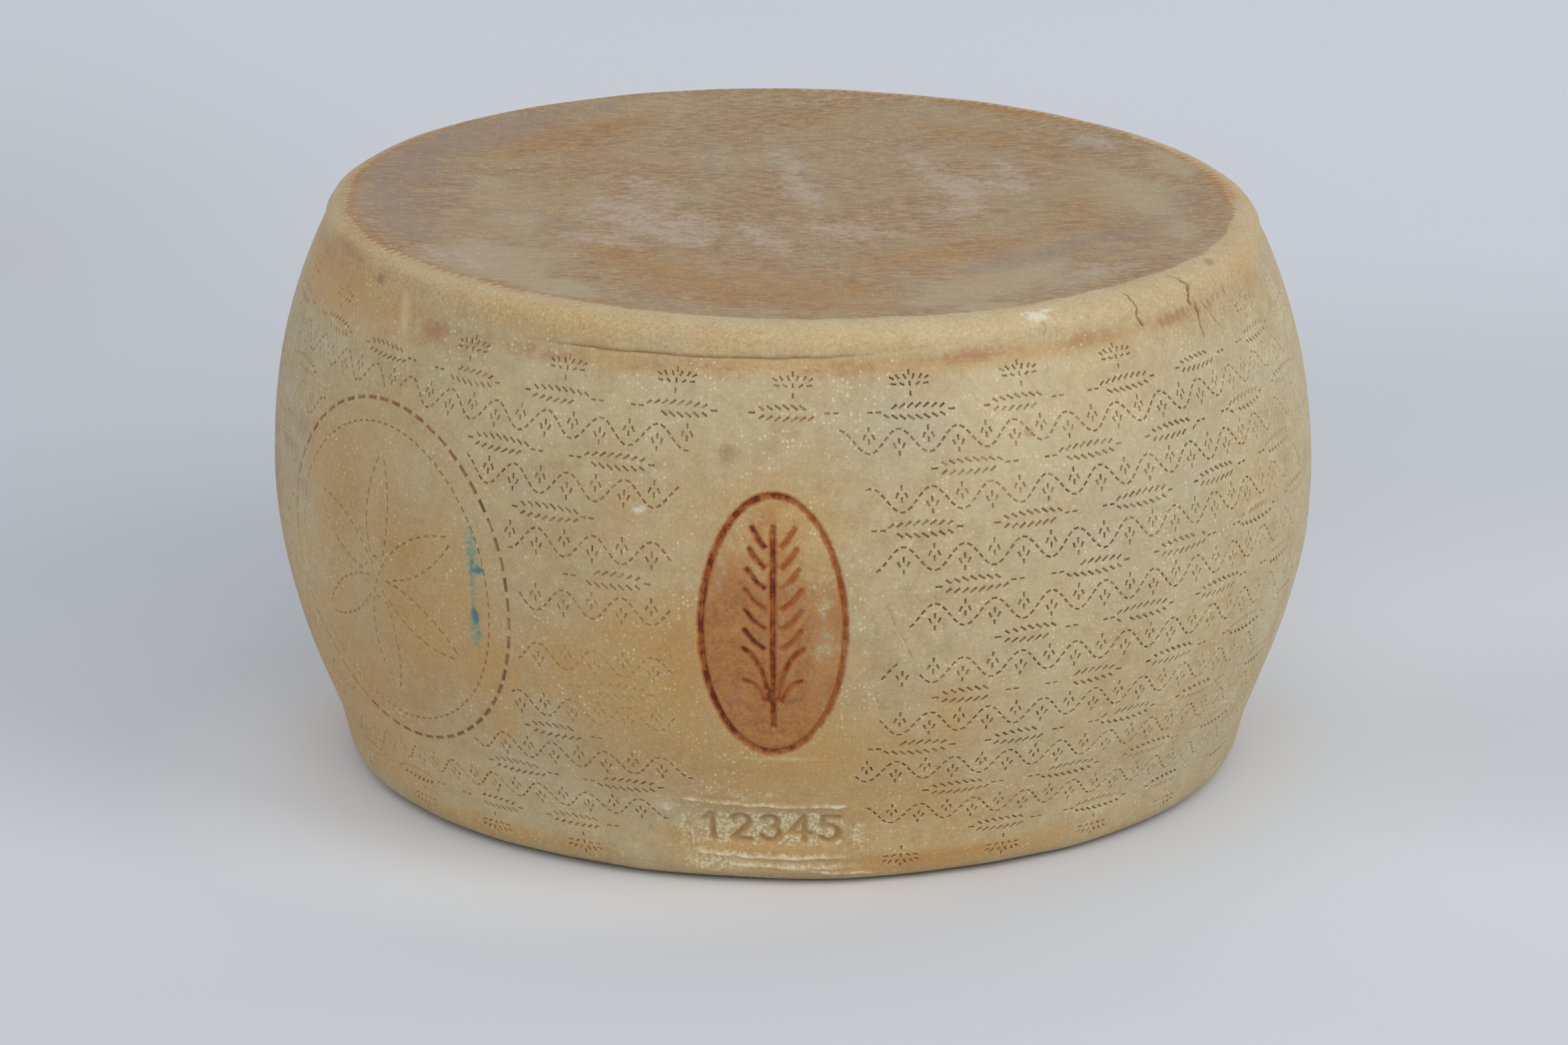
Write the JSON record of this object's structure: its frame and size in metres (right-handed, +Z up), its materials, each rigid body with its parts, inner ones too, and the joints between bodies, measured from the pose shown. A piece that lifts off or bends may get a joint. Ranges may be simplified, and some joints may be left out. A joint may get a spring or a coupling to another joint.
{
  "type": "whole wheel of hard cheese",
  "caption": "Whole drum-shaped wheel of aged hard cheese with bulging pressed sides, a rounded rim, a flat base and pressed-in marks.",
  "frame": {"origin": "middle of the flat underside", "axes": "+Z up through the middle of the wheel, -Y towards the marked front, +X to the right of someone facing the front"},
  "size_m": [0.4098, 0.4098, 0.2245],
  "materials": {
    "rind": "natural cheese rind, waxy and half matt, straw coloured with brown stains and dark pressed marks"
  },
  "bodies": {
    "root": {"wheel": "rind"}
  },
  "joints": []
}
